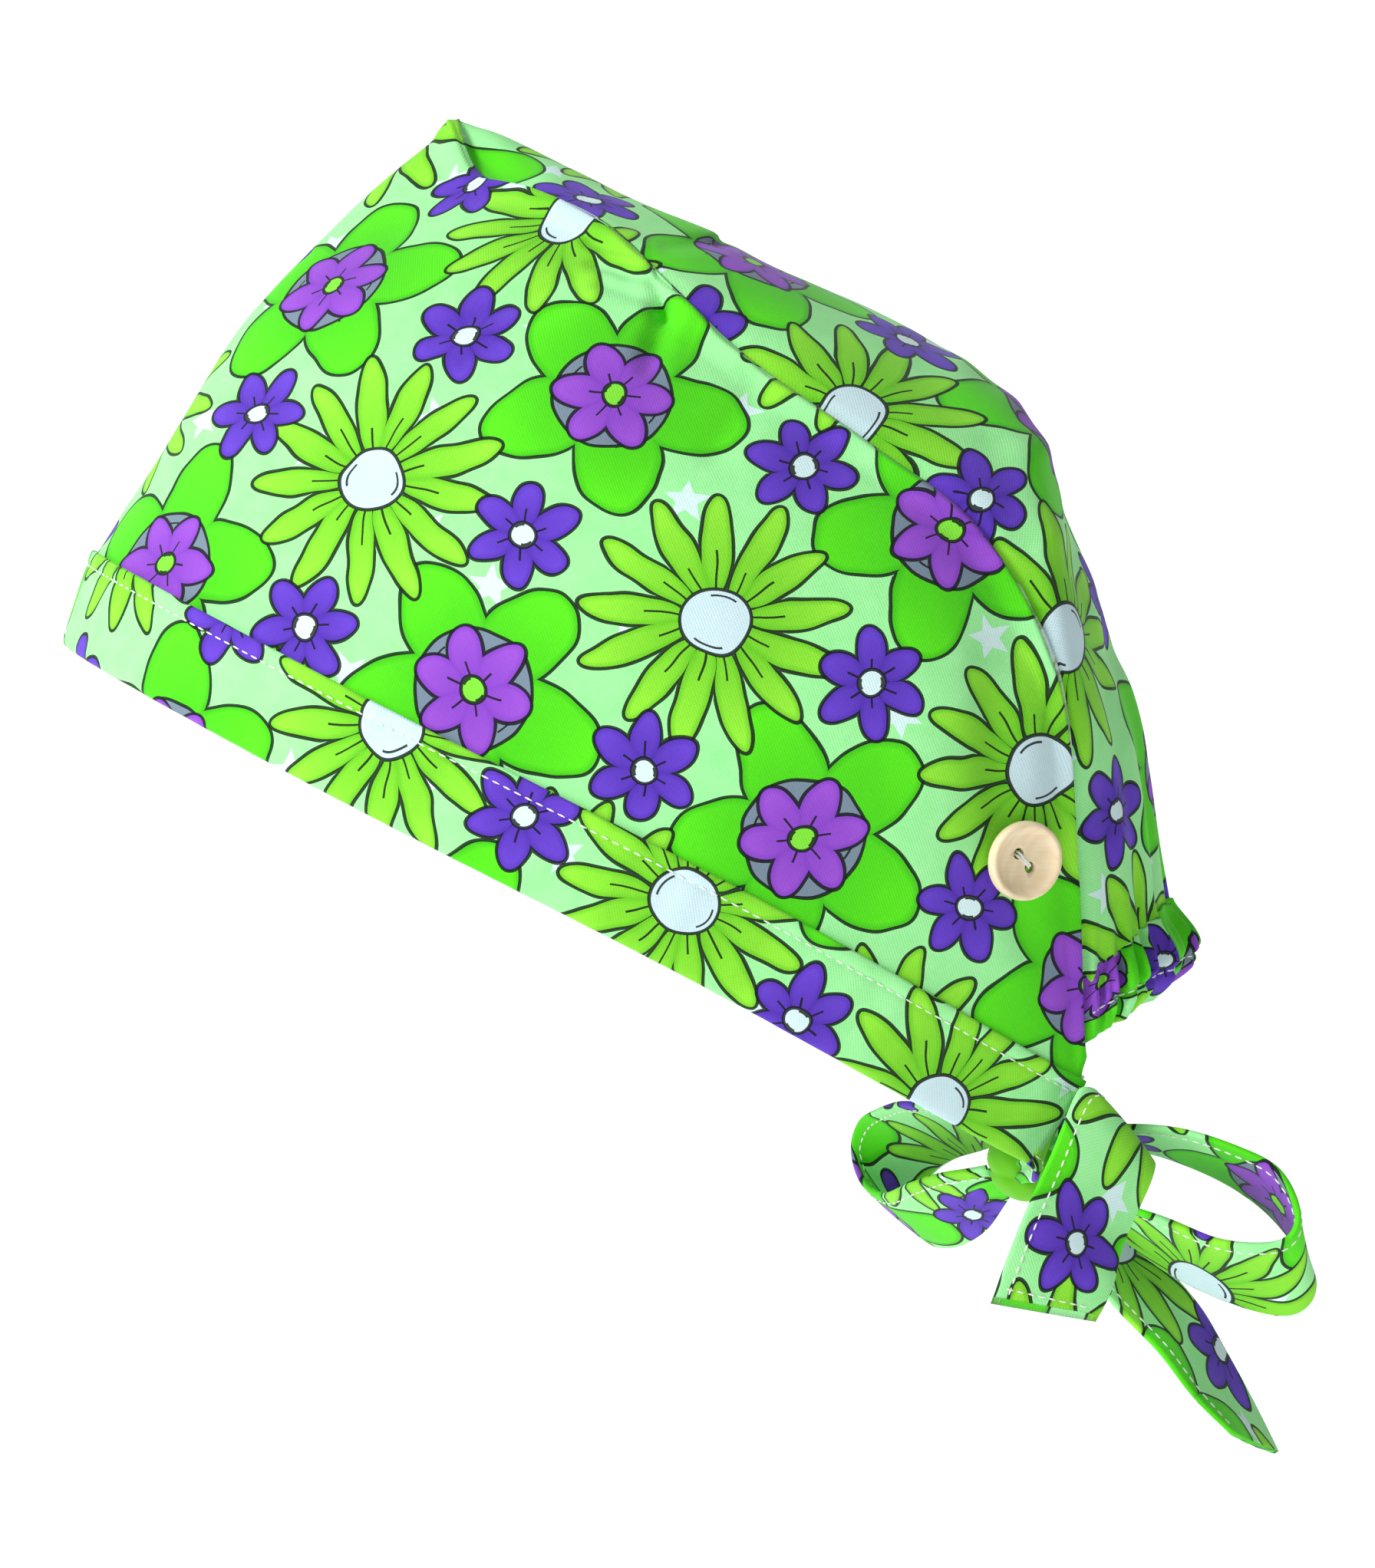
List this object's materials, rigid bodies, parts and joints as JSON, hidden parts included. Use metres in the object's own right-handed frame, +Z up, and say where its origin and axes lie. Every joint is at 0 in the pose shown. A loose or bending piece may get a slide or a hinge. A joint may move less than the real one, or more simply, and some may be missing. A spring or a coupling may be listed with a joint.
{
  "type": "cloth scrub cap with tie back and mask buttons",
  "caption": "Printed cotton scrub cap with a folded cuff, peaked wrap panel, crown over a back pouch, gathered elastic, mask buttons and ties in a bow.",
  "frame": {"origin": "middle of the opening for the head, level with the folded edge of the cuff", "axes": "+Z up, forehead towards -Y, nape towards +Y, wearer's left towards +X"},
  "size_m": [0.1548, 0.2929, 0.3175],
  "materials": {
    "printed_cotton": "plain-weave cotton, mint ground printed with lime daisies and violet flowers",
    "button_wood": "pale sanded wood with fine grain",
    "white_thread": "twisted white sewing thread"
  },
  "bodies": {
    "root": {"cuff": "printed_cotton", "wrap_panel": "printed_cotton", "crown_panel": "printed_cotton", "elastic_casing": "printed_cotton", "button_left": "button_wood", "button_right": "button_wood", "button_thread_left": "white_thread", "button_thread_right": "white_thread", "tie_left": "printed_cotton", "tie_right": "printed_cotton", "knot": "printed_cotton", "bow_loop_left": "printed_cotton", "bow_loop_right": "printed_cotton", "tail_hemmed": "printed_cotton", "tail_pointed": "printed_cotton"}
  },
  "joints": []
}
